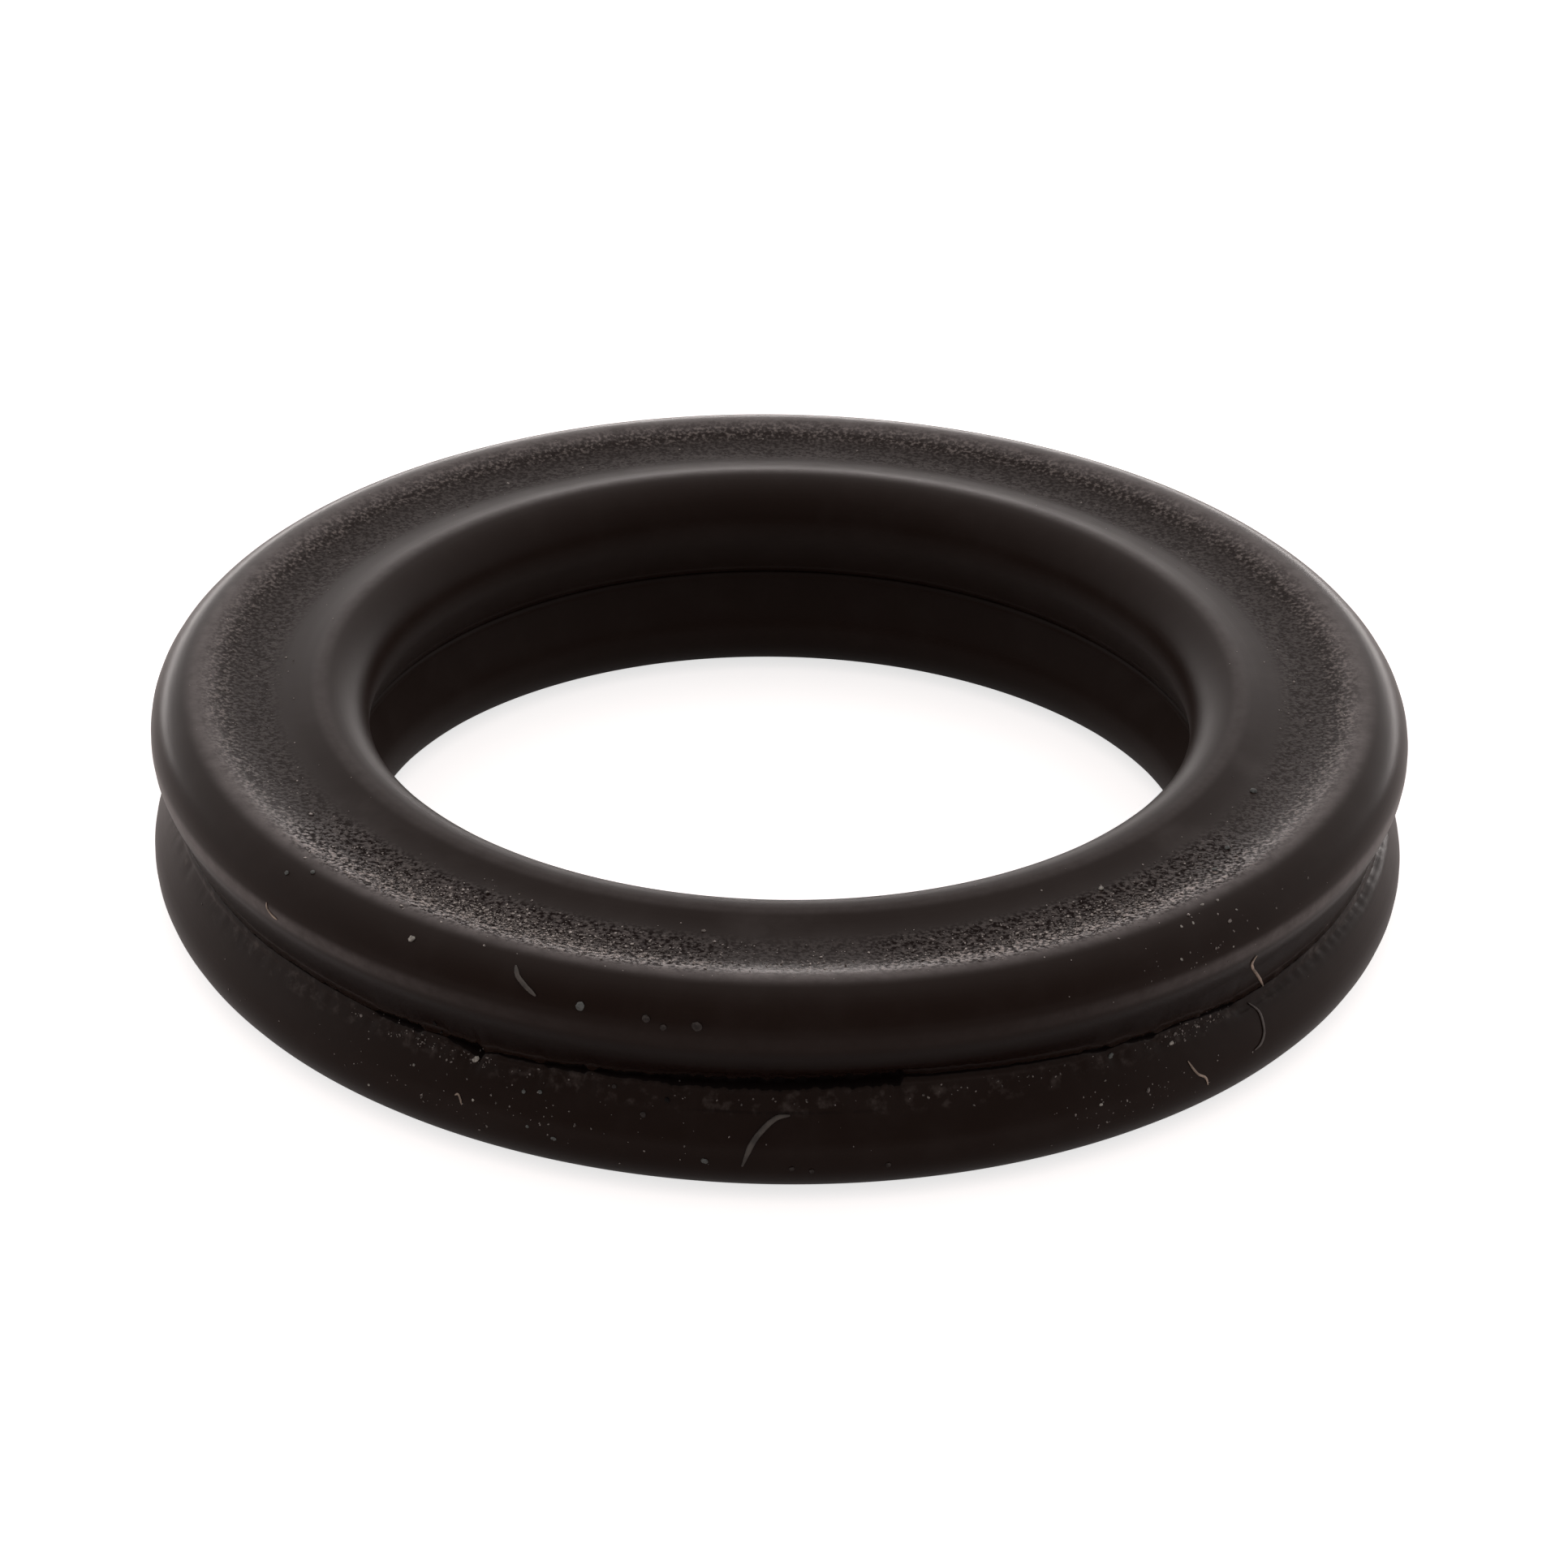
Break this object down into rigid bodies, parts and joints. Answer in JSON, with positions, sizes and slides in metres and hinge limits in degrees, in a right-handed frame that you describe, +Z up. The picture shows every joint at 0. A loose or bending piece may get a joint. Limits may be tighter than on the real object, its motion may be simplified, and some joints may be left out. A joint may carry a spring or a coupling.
{
  "type": "quad ring seal",
  "caption": "Black rubber ring seal with a square, lobed section and a groove on each side, for sealing a rod or a piston in a groove.",
  "frame": {"origin": "centre of the circle on which the two lower lobes rest", "axes": "+Z up along the axis of the ring; the ring is the same all the way round, so X and Y are free"},
  "size_m": [0.021, 0.021, 0.0036],
  "materials": {
    "seal_rubber": "matt black moulded rubber with a soft sheen on the lobes, grainy and dusty in the dishes and grooves"
  },
  "bodies": {
    "root": {"seal_ring": "seal_rubber"}
  },
  "joints": []
}
